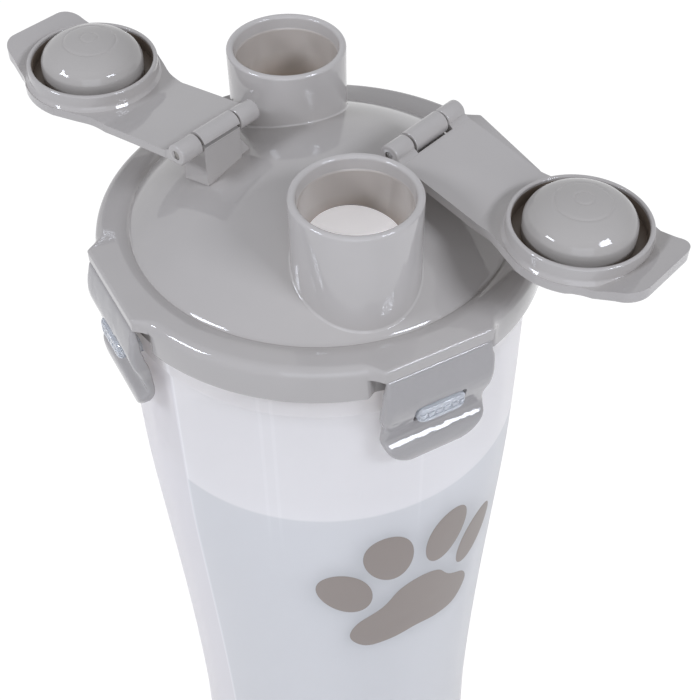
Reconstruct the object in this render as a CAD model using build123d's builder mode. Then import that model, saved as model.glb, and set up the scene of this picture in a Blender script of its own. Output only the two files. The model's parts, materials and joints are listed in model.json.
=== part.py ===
"""Travel water bottle for dogs: a waisted see-through cup with two chambers under a two-spout lid.

Millimetres. +Z runs up the bottle, z = 0 is the face it stands on and the cup's axis is x = y = 0.
The lid repeats after half a turn about Z. Each flip cap is drawn swung open, so it lies across the
lid's rim from the spout that it closes. The four lock tabs are drawn snapped over the cup's catches.
"""
import os
from math import asin, atan2, cos, degrees, hypot, radians, sin, sqrt, tan

from build123d import *

os.makedirs("parts", exist_ok=True)

# ---- cup ----
cup_h = 220.6               # foot to rim
cup_wall = 2.2
floor_t = 2.5
floor_corner = 3.0
foot_recess = 1.5
foot_ring_w = 8.6
foot_inset = 3.5            # foot ring to the cup's side
foot_blend_h = 5.5
waist_profile = [(4.3, 5.5), (4.7, 24.0), (4.85, 40.0), (4.35, 70.0), (3.3, 100.0), (1.9, 130.0),
                 (0.75, 155.0), (0.45, 175.0)]      # (inset from the band under the lid, height)
neck_inset = 0.5
band_h = 11.7               # plain band under the skirt of the lid
neck_wall = 2.5
neck_taper_h = 3.9
rim_bevel = 0.5
rib_gap = 3.4               # channel that holds the divider's seal
rib_t = 1.4
rib_depth = 3.8
rib_drop = 8.6              # rim down to the ribs' ends

# ---- catches on the cup ----
catch_half_w = 6.4
catch_drop = 8.9            # rim down to the catch's top
catch_h = 4.1
catch_past_fold = 2.3
catch_bevel = 0.7
catch_ramp_h, catch_ramp_run = 1.6, 1.3     # lead-in over which the tab snaps
catch_root = 1.5            # how far the catch runs into the cup's wall

# ---- divider, its seal and the gasket ----
divider_t = 1.8
seal_t = 3.2
seal_depth = 4.2
seal_slot_depth = 3.2
seal_clear = 0.25           # seal to cup wall, each side
gasket_t = 1.8
gasket_overhang = 0.4       # past the rim's inner edge
gasket_bar_w = 5.0

# ---- lid ----
skirt_r = 50.0
skirt_wall = 2.1
skirt_clear = 0.5           # skirt to the cup's band
skirt_h = 9.0
skirt_bevel = 0.5
flange_t = 2.6
flange_w = 8.0
flange_fillet = 2.3
dome_rise = 14.4
dome_wall = 2.2
partition_t = 3.0

# ---- spouts ----
spout_x, spout_y = 14.4, 23.4
spout_r = 13.4
spout_wall = 1.95
spout_h = 25.2              # above the flange
spout_lip = 0.6
spout_lead_in = 0.8

# ---- cap hinges ----
hinge_y = 16.5
hinge_drop = 4.65           # spout's top down to the hinge line
pin_r = 1.0
pin_clear = 0.06            # radial, pin to cap knuckle
post_half_w = 5.1
post_half_t = 2.1
post_head_r = 2.5
snap_slot_h = 0.9
gusset_run = 4.8
gusset_t = 1.8
gusset_drops = (3.0, 11.55, 14.55)  # top, outer corner and lower edge, below the hinge line
front_open_deg = 177.0      # swing of each cap from closed to the position drawn
back_open_deg = 180.5

# ---- flip caps, in the cap's own axes: +X along the hinge, +Y away from it, +Z the inner face ----
seat_gap = 0.1              # cap disc to spout rim when shut
disc_t = 2.0
disc_margin = 1.1
ring_gap = 0.15             # collar to spout
ring_wall = 0.95
ring_h = 3.55
knuckle_r = 2.4
knuckle_gap = 0.4
arm_half_w = 11.0
arm_t = 2.0
arm_start_y = 3.4           # clears the post's head
arm_top = -0.5
arm_bend_back = 16.9        # bend of the arm to the disc's middle
lift_tab_reach = 21.3       # disc's middle to the finger tab's end
lift_tab_half_w = 9.6
lift_tab_corner = 4.2
lift_neck_half_w = 12.4
lift_neck_reach = 9.5

# ---- spout plugs ----
plug_clear = 0.25
plug_side_h = 3.0
plug_dome_h = 6.2
plug_wall = 1.7
shoulder_r = 4.0
plug_edge = 0.3
stem_r = 2.0
stem_clear = 0.05
socket_depth = 1.2

# ---- lock tabs ----
tab_angle = -109.0
fold_out = 0.2              # fold line outside the skirt
fold_drop = 3.3             # flange's top down to the fold line
shelf_over = 0.2            # shelf past the fold line
shelf_bevel = 0.6
shelf_gap = 0.25            # fold line to the shelf above it
bead_r = 0.5
bead_clear = 0.07
blend_angle = 19.0          # where the shelf runs out into the round flange
skirt_flat_depth = 0.7      # flat on the skirt behind each tab
tab_half_w = 12.9
tab_shoulder_inset = 0.6
tab_waist_inset = 0.5
tab_h = 27.4
tab_corner = 8.0
slot_side_clear = 0.8
slot_clear = 0.5            # above and below the catch

# ---- heights and radii that follow ----
rim_z = cup_h
seat_z = rim_z + gasket_t               # underside of the flange, which presses on the gasket
flange_top_z = seat_z + flange_t
skirt_bottom_z = flange_top_z - skirt_h
spout_top_z = flange_top_z + spout_h
hinge_z = spout_top_z - hinge_drop
cup_floor_z = foot_recess + floor_t
band_r = skirt_r - skirt_wall - skirt_clear
band_bottom_z = rim_z - band_h
neck_inner_r = band_r - neck_wall
neck_start_z = band_bottom_z - neck_taper_h
rib_top_z = rim_z - rib_drop
cup_profile = [(band_r - inset, z) for inset, z in waist_profile] + [(band_r - neck_inset, band_bottom_z)]
foot_outer_r = cup_profile[0][0] - foot_inset
foot_inner_r = foot_outer_r - foot_ring_w
fold_d = skirt_r + fold_out             # distance of the fold line from the cup's axis
fold_z = flange_top_z - fold_drop
root_d = fold_d + shelf_over
skirt_flat_d = skirt_r - skirt_flat_depth
fold_half_w = tab_half_w - tab_shoulder_inset
catch_top_z = rim_z - catch_drop
catch_bottom_z = catch_top_z - catch_h
catch_out = fold_d + catch_past_fold
slot_bottom_z = catch_bottom_z - slot_clear
slot_top_z = catch_top_z + slot_clear
slot_half_w = catch_half_w + slot_side_clear
tab_bottom_z = fold_z - tab_h
dome_base_r = skirt_r - flange_w
spout_bore_r = spout_r - spout_wall
reach = spout_y + hinge_y               # hinge line to the disc's middle
disc_top = -hinge_drop - seat_gap
ring_inner_r = spout_r + ring_gap
disc_r = ring_inner_r + ring_wall + disc_margin
knuckle_in = post_half_w + knuckle_gap
knuckle_out = arm_half_w + 0.1
pin_half_len = knuckle_out - 0.3
arm_bend_y = reach - arm_bend_back
lift_tab_end_y = reach + lift_tab_reach
plug_r = spout_bore_r - plug_clear
spout_angle = degrees(atan2(-spout_y, -spout_x))
divider_angle = spout_angle + 90
tab_angles = [tab_angle + 90 * k for k in range(4)]
dome_r = (dome_base_r**2 + dome_rise**2) / (2 * dome_rise)
dome_centre_z = flange_top_z + dome_rise - dome_r


def radial_plane(angle):
    """Upright plane through the cup's axis: local X points out at the angle, local Y up."""
    c, s = cos(radians(angle)), sin(radians(angle))
    return Plane(origin=(0, 0, 0), x_dir=(c, s, 0), z_dir=(s, -c, 0))


def inner_radius(z):
    """Inner radius of the cup at a height: the floor's bevel, then steps along the profile."""
    table = [(z_k, r_k - cup_wall) for r_k, z_k in cup_profile]
    corner_top = cup_floor_z + floor_corner
    if z < corner_top:
        return table[0][1] - (corner_top - z)
    for (z0, r0), (z1, r1) in zip(table, table[1:]):
        if z <= z1:
            return r0 + (r1 - r0) * (z - z0) / (z1 - z0)
    return table[-1][1]


def wall_curve(inset, z_low, z_high):
    """Points (r, z) up the inside of the cup wall, moved inwards by inset."""
    low_steps = [0, floor_corner]
    heights = [z_low + step for step in low_steps] + [z for r, z in cup_profile[1:-1]]
    heights = [z for z in heights if z < z_high - 1] + [z_high]
    return [(inner_radius(z) - inset, z) for z in heights]


def edge_band(inset_out, inset_in, z_low, z_high):
    """Closed outline of a strip that follows one side of the cup wall."""
    outer = wall_curve(inset_out, z_low, z_high)
    inner = wall_curve(inset_in, z_low, z_high)
    return outer + inner[::-1]


# ---- cavity of the cup, with the two pairs of ribs left standing ----
with BuildPart() as cup_cavity:
    with BuildSketch(Plane.XZ) as cavity_face:
        with BuildLine():
            inner = [(r - cup_wall, z) for r, z in cup_profile]
            low_r = inner[0][0]
            corner_top = cup_floor_z + floor_corner
            Line((0, cup_floor_z), (low_r - floor_corner, cup_floor_z))
            Line((low_r - floor_corner, cup_floor_z), (low_r, corner_top))
            Spline((low_r, corner_top), *inner[1:-1], (inner[-1][0], neck_start_z))
            Line((inner[-1][0], neck_start_z), (neck_inner_r, band_bottom_z))
            Line((neck_inner_r, band_bottom_z), (neck_inner_r, rim_z + 1))
            Line((neck_inner_r, rim_z + 1), (0, rim_z + 1))
            Line((0, rim_z + 1), (0, cup_floor_z))
        make_face()
    revolve(axis=Axis.Z)
    for side in (-1, 1):
        offset_from_mid = side * (rib_gap / 2 + rib_t / 2)
        for flip in (0, 180):
            rib_plane = radial_plane(divider_angle + flip).offset(offset_from_mid)
            with BuildSketch(rib_plane):
                with BuildLine():
                    Polyline(*edge_band(-1.5, rib_depth, cup_floor_z - 1, rib_top_z), close=True)
                make_face()
            extrude(amount=rib_t / 2, both=True, mode=Mode.SUBTRACT)

# ---- cup body ----
with BuildPart() as cup_body:
    with BuildSketch(Plane.XZ):
        with BuildLine():
            Line((0, foot_recess), (foot_inner_r, foot_recess))
            Line((foot_inner_r, foot_recess), (foot_inner_r + foot_recess, 0))
            Line((foot_inner_r + foot_recess, 0), (foot_outer_r, 0))
            Polyline((foot_outer_r, 0), (foot_outer_r + 0.7 * foot_inset, 0.3 * foot_blend_h),
                     cup_profile[0])
            Spline(*cup_profile)
            Line(cup_profile[-1], (band_r, band_bottom_z))
            Line((band_r, band_bottom_z), (band_r, rim_z))
            Line((band_r, rim_z), (0, rim_z))
            Line((0, rim_z), (0, foot_recess))
        make_face()
    revolve(axis=Axis.Z)
    for angle in tab_angles:
        with BuildSketch(radial_plane(angle)):
            with BuildLine():
                Polyline((band_r - catch_root, catch_bottom_z), (catch_out - catch_bevel, catch_bottom_z),
                         (catch_out, catch_bottom_z + catch_bevel),
                         (catch_out, catch_top_z - catch_ramp_h),
                         (catch_out - catch_ramp_run, catch_top_z),
                         (band_r - catch_root, catch_top_z), close=True)
            make_face()
        extrude(amount=catch_half_w, both=True)
    add(cup_cavity.part, mode=Mode.SUBTRACT)
    rim_edges = cup_body.edges().filter_by(GeomType.CIRCLE).filter_by_position(Axis.Z, rim_z - 0.01, rim_z + 0.01)
    chamfer(rim_edges, length=rim_bevel)
cup_body.part.label = "cup_body"
export_step(cup_body.part, "parts/cup_body.step")

# ---- divider panel between the chambers, and the soft strip round its edge ----
divider_plane = radial_plane(divider_angle)
panel_edge = seal_clear + seal_depth - seal_slot_depth
with BuildPart() as divider:
    with BuildSketch(divider_plane):
        with BuildLine():
            side_curve = wall_curve(panel_edge, cup_floor_z + panel_edge, rim_z - 0.1)
            mirrored = [(-r, z) for r, z in side_curve]
            Polyline(*side_curve, *mirrored[::-1], close=True)
        make_face()
    extrude(amount=divider_t / 2, both=True)
divider.part.label = "divider"
export_step(divider.part, "parts/divider.step")

with BuildPart() as divider_seal:
    with BuildSketch(divider_plane):
        with BuildLine():
            side_curve = wall_curve(seal_clear, cup_floor_z + seal_clear, rib_top_z)
            mirrored = [(-r, z) for r, z in side_curve]
            Polyline(*side_curve, *mirrored[::-1], close=True)
        make_face()
        with BuildLine():
            inset = seal_clear + seal_depth
            side_curve = wall_curve(inset, cup_floor_z + inset, rib_top_z + 1)
            mirrored = [(-r, z) for r, z in side_curve]
            Polyline(*side_curve, *mirrored[::-1], close=True)
        make_face(mode=Mode.SUBTRACT)
    extrude(amount=seal_t / 2, both=True)
    add(divider.part, mode=Mode.SUBTRACT)
divider_seal.part.label = "divider_seal"
export_step(divider_seal.part, "parts/divider_seal.step")

# ---- gasket: a ring on the cup's rim with a bar over the divider ----
gasket_inner_r = neck_inner_r - gasket_overhang
gasket_outer_r = band_r - 0.1
with BuildPart() as lid_gasket:
    with BuildSketch(Plane.XY.offset(rim_z)):
        Circle(gasket_outer_r)
        Circle(gasket_inner_r, mode=Mode.SUBTRACT)
        Rectangle(2 * gasket_inner_r + 0.6, gasket_bar_w, rotation=divider_angle)
    extrude(amount=gasket_t)
lid_gasket.part.label = "lid_gasket"
export_step(lid_gasket.part, "parts/lid_gasket.step")

# ---- hollow under the lid's dome, with the partition left standing ----
with BuildPart() as lid_cavity:
    under_r = dome_r - dome_wall
    under_rim_r = sqrt(under_r**2 - (seat_z - dome_centre_z) ** 2)
    with BuildSketch(Plane.XZ):
        with BuildLine():
            mid = radians(10)
            ThreePointArc((0, dome_centre_z + under_r),
                          (under_r * sin(mid), dome_centre_z + under_r * cos(mid)), (under_rim_r, seat_z))
            Line((under_rim_r, seat_z), (0, seat_z))
            Line((0, seat_z), (0, dome_centre_z + under_r))
        make_face()
    revolve(axis=Axis.Z)
    with BuildSketch(Plane.XY.offset(seat_z - 1)):
        Rectangle(2 * skirt_r, partition_t, rotation=divider_angle)
    extrude(amount=dome_rise + 4, mode=Mode.SUBTRACT)

# ---- lid ----
with BuildPart() as lid:
    with BuildSketch(Plane.XZ):
        with BuildLine():
            base_angle = asin(dome_base_r / dome_r) / 2
            ThreePointArc((0, flange_top_z + dome_rise),
                          (dome_r * sin(base_angle), dome_centre_z + dome_r * cos(base_angle)),
                          (dome_base_r, flange_top_z))
            Line((dome_base_r, flange_top_z), (skirt_r - flange_fillet, flange_top_z))
            RadiusArc((skirt_r - flange_fillet, flange_top_z), (skirt_r, flange_top_z - flange_fillet),
                      flange_fillet)
            Line((skirt_r, flange_top_z - flange_fillet), (skirt_r, skirt_bottom_z + skirt_bevel))
            Line((skirt_r, skirt_bottom_z + skirt_bevel), (skirt_r - skirt_bevel, skirt_bottom_z))
            Line((skirt_r - skirt_bevel, skirt_bottom_z), (skirt_r - skirt_wall, skirt_bottom_z))
            Line((skirt_r - skirt_wall, skirt_bottom_z), (skirt_r - skirt_wall, seat_z))
            Line((skirt_r - skirt_wall, seat_z), (0, seat_z))
            Line((0, seat_z), (0, flange_top_z + dome_rise))
        make_face()
    revolve(axis=Axis.Z)
    # flats behind the tabs, then the shelf that each tab hangs from
    for angle in tab_angles:
        with BuildSketch(radial_plane(angle)):
            with Locations((skirt_flat_d, skirt_bottom_z - 1)):
                Rectangle(4, fold_z + 0.5 - skirt_bottom_z + 1, align=(Align.MIN, Align.MIN))
        extrude(amount=tab_half_w + 0.6, both=True, mode=Mode.SUBTRACT)
    shelf_back = [((skirt_r - 1) * cos(radians(a)), (skirt_r - 1) * sin(radians(a)))
                  for a in (blend_angle, blend_angle / 2, 0, -blend_angle / 2, -blend_angle)]
    blend_x, blend_y = skirt_r * cos(radians(blend_angle)), skirt_r * sin(radians(blend_angle))
    shelf_outline = [*shelf_back, (blend_x, -blend_y), (root_d, -fold_half_w), (root_d, fold_half_w),
                     (blend_x, blend_y)]
    with BuildSketch(Plane.XY.offset(fold_z + shelf_gap)):
        for angle in tab_angles:
            Polygon(*shelf_outline, rotation=angle, align=None)
    extrude(amount=flange_top_z - fold_z - shelf_gap - shelf_bevel)
    with BuildSketch(Plane.XY.offset(flange_top_z - shelf_bevel)):
        for angle in tab_angles:
            Polygon(*shelf_outline, rotation=angle, align=None)
    extrude(amount=shelf_bevel, taper=45)
    for angle in tab_angles:
        with BuildSketch(radial_plane(angle)):
            with Locations((fold_d, fold_z)):
                Circle(bead_r + bead_clear)
        extrude(amount=fold_half_w + 0.5, both=True, mode=Mode.SUBTRACT)
    # spouts
    with BuildSketch(Plane.XY.offset(flange_top_z)):
        with PolarLocations(hypot(spout_x, spout_y), 2, start_angle=spout_angle):
            Circle(spout_r)
    extrude(amount=spout_top_z - flange_top_z)
    spout_rims = lid.edges().filter_by(GeomType.CIRCLE).filter_by_position(
        Axis.Z, spout_top_z - 0.01, spout_top_z + 0.01)
    chamfer(spout_rims, length=spout_lip)
    # hinge posts with a bored head; the gusset stands on the side nearer the middle of the lid
    for side in (1, -1):
        x_mid, y_mid = -side * spout_x, side * hinge_y
        with BuildSketch(Plane.XY.offset(flange_top_z)):
            with Locations((x_mid, y_mid)):
                Rectangle(2 * post_half_w, 2 * post_half_t)
        extrude(amount=hinge_z - flange_top_z)
        with BuildSketch(Plane.YZ.offset(x_mid)):
            with Locations((y_mid, hinge_z)):
                Circle(post_head_r)
        extrude(amount=post_half_w, both=True)
        with BuildSketch(Plane.XZ.offset(-y_mid)):
            gusset_in = x_mid + side * (post_half_w - 0.2)
            gusset_out = x_mid + side * (post_half_w + gusset_run)
            gusset_top, gusset_corner, gusset_low = (hinge_z - drop for drop in gusset_drops)
            Polygon((gusset_in, gusset_top), (gusset_out, gusset_corner), (gusset_out, gusset_low),
                    (gusset_in, gusset_low), align=None)
        extrude(amount=gusset_t / 2, both=True)
        with BuildSketch(Plane.YZ.offset(x_mid)):
            with Locations((y_mid, hinge_z)):
                Circle(pin_r)
            with Locations((y_mid - side * post_head_r, hinge_z - snap_slot_h / 2 - 0.1)):
                Rectangle(2 * post_head_r, snap_slot_h)
        extrude(amount=post_half_w + 0.1, both=True, mode=Mode.SUBTRACT)
    add(lid_cavity.part, mode=Mode.SUBTRACT)
    with BuildSketch(Plane.XY.offset(seat_z - 1)):
        with PolarLocations(hypot(spout_x, spout_y), 2, start_angle=spout_angle):
            Circle(spout_bore_r)
    extrude(amount=spout_top_z - seat_z + 2, mode=Mode.SUBTRACT)
    bore_edges = lid.edges(Select.LAST)
    lead_in_edges = bore_edges.filter_by_position(Axis.Z, spout_top_z - 0.01, spout_top_z + 0.01)
    chamfer(lead_in_edges, length=spout_lead_in)
lid.part.label = "lid"
export_step(lid.part, "parts/lid.step")

# ---- pins of the two cap hinges ----
with BuildPart() as hinge_pins:
    for side in (1, -1):
        with BuildSketch(Plane.YZ.offset(-side * spout_x)):
            with Locations((side * hinge_y, hinge_z)):
                Circle(pin_r)
        extrude(amount=pin_half_len, both=True)
hinge_pins.part.label = "hinge_pins"
export_step(hinge_pins.part, "parts/hinge_pins.step")

# ---- flip caps and their plugs ----
def round_tip(x_end, y_end, x_neck, y_neck, radius, steps=6):
    """Points round one tip of the finger tab, from its side edge to its end edge."""
    slope = atan2(y_end - y_neck, x_neck - x_end)
    turn = radians(180) - slope
    back = radius / tan(turn / 2) if turn > 0 else radius
    centre = (x_end - back, y_end - radius)
    start = radians(90) - slope
    return [(centre[0] + radius * cos(start + (radians(90) - start) * k / steps),
             centre[1] + radius * sin(start + (radians(90) - start) * k / steps)) for k in range(steps + 1)]


neck_y = reach + lift_neck_reach
right_side = [(lift_neck_half_w + 1.6, neck_y - 4.5), (lift_neck_half_w + 0.4, neck_y - 1.5),
              (lift_neck_half_w - 0.6, neck_y + 1.5)]
right_side += round_tip(lift_tab_half_w + 0.9, lift_tab_end_y, lift_neck_half_w - 0.6, neck_y + 1.5,
                        lift_tab_corner)
lift_outline = right_side + [(-x, y) for x, y in right_side[::-1]]

# the plug's end is a wide crown with a tight shoulder, both arcs in the plug's own (radius, height)
shoulder_in = plug_r - shoulder_r
crown_r = (shoulder_in**2 + plug_dome_h**2 - shoulder_r**2) / (2 * (plug_dome_h - shoulder_r))
crown_centre_h = plug_side_h + plug_dome_h - crown_r


def crown_height(radius, inset):
    """Height of the crown at a distance from the plug's axis, inset from its skin."""
    return crown_centre_h + sqrt((crown_r - inset) ** 2 - radius**2)


def crown_end(inset):
    """Point where the crown runs into the shoulder."""
    reach_out = (crown_r - inset) / (crown_r - shoulder_r)
    return (shoulder_in * reach_out, crown_centre_h + (plug_side_h - crown_centre_h) * reach_out)


for end, side, swing in (("front", 1, front_open_deg), ("back", -1, back_open_deg)):
    lift = radians(180 - swing)
    cap_plane = Plane(origin=(-side * spout_x, side * hinge_y, hinge_z), x_dir=(side, 0, 0),
                      z_dir=(0, -side * sin(lift), cos(lift)))
    side_plane = Plane(origin=cap_plane.origin, x_dir=cap_plane.y_dir, z_dir=cap_plane.x_dir)
    with BuildPart() as flip_cap:
        with BuildSketch(cap_plane.offset(disc_top - disc_t)):
            with Locations((0, reach)):
                Circle(disc_r)
            with BuildLine():
                for mirror_side in (1, -1):
                    Spline((mirror_side * arm_half_w, arm_bend_y - 0.6),
                           (mirror_side * (arm_half_w + 0.5), arm_bend_y + 4),
                           (mirror_side * (arm_half_w + 2.3), arm_bend_y + 8.5),
                           (mirror_side * (disc_r - 0.25), arm_bend_y + 14))
                Line((arm_half_w, arm_bend_y - 0.6), (-arm_half_w, arm_bend_y - 0.6))
                Line((disc_r - 0.25, arm_bend_y + 14), (-disc_r + 0.25, arm_bend_y + 14))
            make_face()
        extrude(amount=disc_t)
        # finger tab: a drawn-in outline with round tips
        with BuildSketch(cap_plane.offset(disc_top - disc_t)):
            with BuildLine():
                Polyline(*lift_outline, close=True)
            make_face()
        extrude(amount=disc_t)
        # collar that slips over the spout
        with BuildSketch(cap_plane.offset(disc_top)):
            with Locations((0, reach)):
                Circle(ring_inner_r + ring_wall)
                Circle(ring_inner_r, mode=Mode.SUBTRACT)
        extrude(amount=ring_h)
        # sloping arm from the hinge up to the disc
        arm_side = [(arm_start_y, arm_top), (arm_bend_y, disc_top), (reach - ring_inner_r - 0.3, disc_top),
                    (reach - ring_inner_r - 0.3, disc_top - disc_t), (arm_bend_y - 0.4, disc_top - disc_t),
                    (arm_start_y, arm_top - arm_t)]
        with BuildSketch(side_plane):
            with BuildLine():
                Polyline(*arm_side, close=True)
            make_face()
        extrude(amount=arm_half_w, both=True)
        for hand in (1, -1):
            with BuildSketch(side_plane.offset(hand * (knuckle_in + knuckle_out) / 2)):
                Circle(knuckle_r)
                Polygon((0, arm_top + 0.2), (arm_start_y + 0.2, arm_top - 0.02),
                        (arm_start_y + 0.2, arm_top - arm_t), (0, -knuckle_r), align=None)
            extrude(amount=(knuckle_out - knuckle_in) / 2, both=True)
        with BuildSketch(side_plane):
            Circle(pin_r + pin_clear)
        extrude(amount=knuckle_out + 1, both=True, mode=Mode.SUBTRACT)
        # blind socket for the plug's stem
        with BuildSketch(cap_plane.offset(disc_top)):
            with Locations((0, reach)):
                Circle(stem_r + stem_clear)
        extrude(amount=-socket_depth, mode=Mode.SUBTRACT)
    flip_cap.part.label = "flip_cap_" + end
    export_step(flip_cap.part, "parts/flip_cap_" + end + ".step")

    spout_axis = Axis(cap_plane.from_local_coords((0, reach, 0)), cap_plane.z_dir)
    plug_plane = Plane(origin=cap_plane.from_local_coords((0, reach, disc_top)),
                       x_dir=cap_plane.x_dir, z_dir=-cap_plane.y_dir)
    with BuildPart() as spout_plug:
        with BuildSketch(plug_plane):
            with BuildLine():
                stem_end = stem_clear - socket_depth
                Line((0, stem_end), (stem_r, stem_end))
                Line((stem_r, stem_end), (stem_r, crown_height(stem_r, plug_wall)))
                Line((stem_r, crown_height(stem_r, plug_wall)), crown_end(plug_wall))
                Line(crown_end(plug_wall), (plug_r - plug_wall, plug_side_h))
                Line((plug_r - plug_wall, plug_side_h), (plug_r - plug_wall, 0))
                Line((plug_r - plug_wall, 0), (plug_r - plug_edge, 0))
                Line((plug_r - plug_edge, 0), (plug_r, plug_edge))
                Line((plug_r, plug_edge), (plug_r, plug_side_h))
                RadiusArc((plug_r, plug_side_h), crown_end(0), -shoulder_r)
                RadiusArc(crown_end(0), (0, plug_side_h + plug_dome_h), -crown_r)
                Line((0, plug_side_h + plug_dome_h), (0, stem_end))
            make_face()
        revolve(axis=spout_axis)
    spout_plug.part.label = "spout_plug_" + end
    export_step(spout_plug.part, "parts/spout_plug_" + end + ".step")

# ---- lock tabs ----
outer_side = [(0.45, -0.5), (1.1, -2.7), (1.65, -5.5), (1.8, -7.9), (1.2, -11.3), (0.2, -14.4),
              (-0.55, -17.1), (-0.8, -19.9), (-0.45, -23.1), (0.2, -25.5), (0.9, -tab_h)]
inner_side = [(-0.3, -tab_h), (-1.1, -25.5), (-1.75, -22.9), (-2.2, -19.9), (-2.4, -16.9), (-2.35, -14.4),
              (-1.9, -11.3), (-1.2, -8.3), (-0.75, -5.5)]
plate_outer = [(fold_d + out, fold_z + up) for out, up in outer_side]
plate_inner = [(fold_d + out, fold_z + up) for out, up in inner_side]
tab_waist_half_w = tab_half_w - tab_waist_inset
outline_half = [(fold_half_w, fold_z + 1.3), (fold_half_w, fold_z - 0.7), (tab_half_w, fold_z - 4.2),
                (tab_half_w, fold_z - 11.2), (tab_waist_half_w, fold_z - 14.7),
                (tab_waist_half_w, fold_z - 16.2), (tab_half_w, fold_z - 19.2)]
for number, angle in enumerate(tab_angles, start=1):
    c, s = cos(radians(angle)), sin(radians(angle))
    front_plane = Plane(origin=(0, 0, 0), x_dir=(-s, c, 0), z_dir=(c, s, 0))
    with BuildPart() as lock_tab:
        with BuildSketch(radial_plane(angle)):
            with BuildLine():
                Spline(*plate_outer)
                Line(plate_outer[-1], plate_inner[0])
                Spline(*plate_inner)
                Line(plate_inner[-1], (plate_inner[-1][0], fold_z - 0.35))
                Line((plate_inner[-1][0], fold_z - 0.35), plate_outer[0])
            make_face()
        extrude(amount=tab_half_w + 0.5, both=True)
        with BuildSketch(front_plane.offset(skirt_flat_d - 5)):
            with BuildLine():
                left_side = [(-w, z) for w, z in outline_half]
                lower_w = outline_half[-1][0]
                turn_z = tab_bottom_z + tab_corner
                Polyline(*left_side)
                Line(left_side[-1], (-lower_w, turn_z))
                RadiusArc((-lower_w, turn_z), (-lower_w + tab_corner, tab_bottom_z), -tab_corner)
                Line((-lower_w + tab_corner, tab_bottom_z), (lower_w - tab_corner, tab_bottom_z))
                RadiusArc((lower_w - tab_corner, tab_bottom_z), (lower_w, turn_z), -tab_corner)
                Line((lower_w, turn_z), outline_half[-1])
                Polyline(*outline_half[::-1])
                Line(outline_half[0], left_side[0])
            make_face()
            with Locations((0, (slot_bottom_z + slot_top_z) / 2)):
                RectangleRounded(2 * slot_half_w, slot_top_z - slot_bottom_z, 0.6, mode=Mode.SUBTRACT)
        extrude(amount=12, mode=Mode.INTERSECT)
        with BuildSketch(radial_plane(angle)):
            with Locations((fold_d, fold_z)):
                Circle(bead_r)
        extrude(amount=fold_half_w, both=True)
    lock_tab.part.label = "lock_tab_" + str(number)
    export_step(lock_tab.part, "parts/lock_tab_" + str(number) + ".step")
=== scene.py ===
"""Looks of a travel water bottle for dogs: frosted cup, grey two-spout lid, flip caps and lock tabs.

Sizes are in millimetres until a mesh is made, which turns them into metres. The row frame is the CAD's:
+Z up the bottle, the cap hinges along X, and z = 0 where the bottle stands.
"""
import json
from math import asin, cos, pi, radians, sin

import bmesh
import bpy
import numpy as np
from mathutils import Matrix, Vector


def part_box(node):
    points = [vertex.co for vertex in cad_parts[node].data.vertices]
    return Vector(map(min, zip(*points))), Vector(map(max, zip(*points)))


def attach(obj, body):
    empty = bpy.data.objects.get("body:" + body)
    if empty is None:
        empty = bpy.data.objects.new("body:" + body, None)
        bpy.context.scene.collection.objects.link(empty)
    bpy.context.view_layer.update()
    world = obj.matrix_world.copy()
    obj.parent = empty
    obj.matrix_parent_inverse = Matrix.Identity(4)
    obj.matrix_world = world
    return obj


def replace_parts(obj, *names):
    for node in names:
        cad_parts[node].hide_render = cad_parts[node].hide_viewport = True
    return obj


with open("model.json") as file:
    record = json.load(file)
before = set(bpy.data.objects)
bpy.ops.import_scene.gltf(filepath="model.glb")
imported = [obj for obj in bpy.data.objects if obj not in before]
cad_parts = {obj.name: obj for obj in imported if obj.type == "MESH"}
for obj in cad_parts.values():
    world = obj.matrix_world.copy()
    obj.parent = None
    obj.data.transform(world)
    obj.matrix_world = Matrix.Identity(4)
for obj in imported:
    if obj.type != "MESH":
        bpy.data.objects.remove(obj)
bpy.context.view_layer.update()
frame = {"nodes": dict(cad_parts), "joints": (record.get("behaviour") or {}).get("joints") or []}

MM = 0.001
JOINTS = {j["name"]: j for j in frame["joints"]}

# ---- sizes shared by several pieces ----
RIM_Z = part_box("cup_body")[1][2] / MM
SKIRT_BOTTOM_Z, SPOUT_TOP_Z = (corner[2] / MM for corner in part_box("lid"))
SKIRT_R = 50.0
SKIRT_INNER_R = 47.9
FLANGE_Z = SKIRT_BOTTOM_Z + 9.0
SEAT_Z = FLANGE_Z - 2.6
DOME_BASE_R = 42.0
DOME_RISE = 14.4
DOME_WALL = 2.2
DOME_R = (DOME_BASE_R**2 + DOME_RISE**2) / (2 * DOME_RISE)
DOME_CENTRE_Z = FLANGE_Z + DOME_RISE - DOME_R
BAND_R = 47.4
BAND_Z = 208.9
CUP_WALL = 2.2
CUP_FLOOR_Z = 4.0
SPOUT_XY = (-14.4, -23.4)
SPOUT_R = 13.4
SPOUT_BORE_R = 11.45
TAB_ANGLES = [-109 + 90 * k for k in range(4)]
FOLD_D = 50.2
FOLD_Z = FLANGE_Z - 3.3
WATER_Z = 172.5
DIVIDER_ANGLE = -31.6
CHANNEL_EDGE = cos(radians(59.1))       # cosine of the angle from the front where the thick wall starts
SEAM_ANGLES = (-153.4, -150.1, -110.0)  # faint upright lines in the cup's wall, in degrees
SEAM_FADE = (158, 172)                  # heights between which those lines come out
LINE_HALF = 0.006                       # half a line's width, as a share of the cup's radius


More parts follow.
